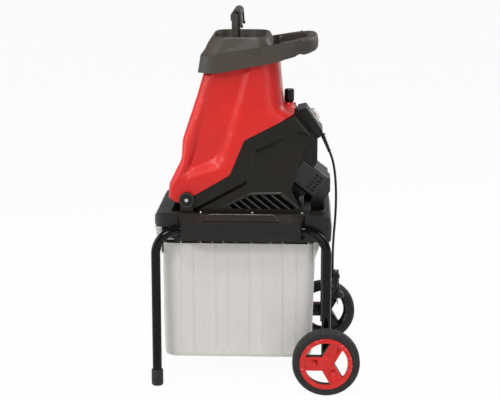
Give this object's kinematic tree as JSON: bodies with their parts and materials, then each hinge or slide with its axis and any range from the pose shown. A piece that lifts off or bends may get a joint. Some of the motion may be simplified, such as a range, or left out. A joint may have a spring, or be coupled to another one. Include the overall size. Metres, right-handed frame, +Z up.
{
  "type": "garden shredder",
  "caption": "Electric garden shredder: red feed hopper that tilts forward on hinges over a disc cutter, on a wheeled tube stand with a pull-out catch box and a push stick.",
  "frame": {"origin": "on the floor under the middle of the stand's bounding box", "axes": "+Z up, +X to the wheels and the switch, -X to the side the catch box pulls out, +Y to the right wheel"},
  "size_m": [0.57, 0.525, 1.008],
  "materials": {
    "black_plastic": "fine grained",
    "red_plastic": "satin",
    "tube_paint": "gloss",
    "rubber": "matt",
    "tyre": "matt",
    "cord": "satin",
    "milky": "translucent, frosted",
    "bezel": "gloss",
    "steel": "turned",
    "iron": "bare laminations",
    "copper": "bare"
  },
  "bodies": {
    "stand": {"left_leg_frame": "tube_paint", "right_leg_frame": "tube_paint", "left_foot": "rubber", "right_foot": "rubber", "tube_clamps": "black_plastic", "axle": "steel", "axle_spacers": "black_plastic", "axle_retainers": "steel", "base_tray": "black_plastic", "left_rail": "black_plastic", "right_rail": "black_plastic", "lower_housing": "black_plastic", "motor_cover": "black_plastic", "motor_plate": "steel", "chip_guide": "steel", "stator": "iron", "windings": "copper", "rear_bracket": "steel", "brush_holders": "black_plastic", "front_bearing": "steel", "rear_bearing": "steel", "housing_screws": "steel", "switch_box": "black_plastic", "switch_bezel": "bezel", "interlock_switch": "black_plastic", "strain_relief": "rubber", "mains_cord": "cord", "cord_hank": "cord", "cord_tie": "cord", "plug_body": "cord", "plug_pins": "steel", "left_hinge_screw": "steel", "right_hinge_screw": "steel"},
    "hopper": {"hopper": "red_plastic", "feed_collar": "black_plastic", "feed_chute": "black_plastic", "counter_blade": "steel"},
    "lock": {"lock_knob": "black_plastic", "lock_spindle": "steel"},
    "tamper": {"tamper": "black_plastic"},
    "box": {"collection_box": "milky"},
    "left_wheel": {"left_tyre": "tyre", "left_wheel_core": "black_plastic", "left_hub_cover": "red_plastic"},
    "right_wheel": {"right_tyre": "tyre", "right_wheel_core": "black_plastic", "right_hub_cover": "red_plastic"},
    "cutter": {"motor_shaft": "steel", "armature": "iron", "commutator": "copper", "fan": "black_plastic", "blade_disc": "steel", "blades": "steel", "blade_screws": "steel", "disc_bolt": "steel"},
    "rocker": {"switch_rocker": "red_plastic"}
  },
  "joints": [
    {"name": "hopper_tilt", "type": "hinge", "parent": "stand", "child": "hopper", "pos_m": [-0.1805, 0, 0.5085], "axis": [0, -1, 0], "range_deg": [0, 45]},
    {"name": "lock_turn", "type": "hinge", "parent": "hopper", "child": "lock", "pos_m": [0.09, 0, 0.75], "axis": [0, 0, 1], "continuous": true},
    {"name": "tamper_lift", "type": "slide", "parent": "hopper", "child": "tamper", "axis": [0, 0, 1], "range_m": [0, 0.3]},
    {"name": "box_pull", "type": "slide", "parent": "stand", "child": "box", "axis": [-1, 0, 0], "range_m": [0, 0.42]},
    {"name": "left_wheel_spin", "type": "hinge", "parent": "stand", "child": "left_wheel", "pos_m": [0.195, -0.2415, 0.09], "axis": [0, 1, 0], "continuous": true},
    {"name": "right_wheel_spin", "type": "hinge", "parent": "stand", "child": "right_wheel", "pos_m": [0.195, 0.2415, 0.09], "axis": [0, 1, 0], "continuous": true},
    {"name": "cutter_spin", "type": "hinge", "parent": "stand", "child": "cutter", "pos_m": [-0.007, 0, 0.67], "axis": [0.7986, 0, -0.6018], "continuous": true},
    {"name": "switch_rock", "type": "hinge", "parent": "stand", "child": "rocker", "pos_m": [0.15193, 0, 0.71309], "axis": [0, 1, 0], "range_deg": [0, 20]}
  ]
}
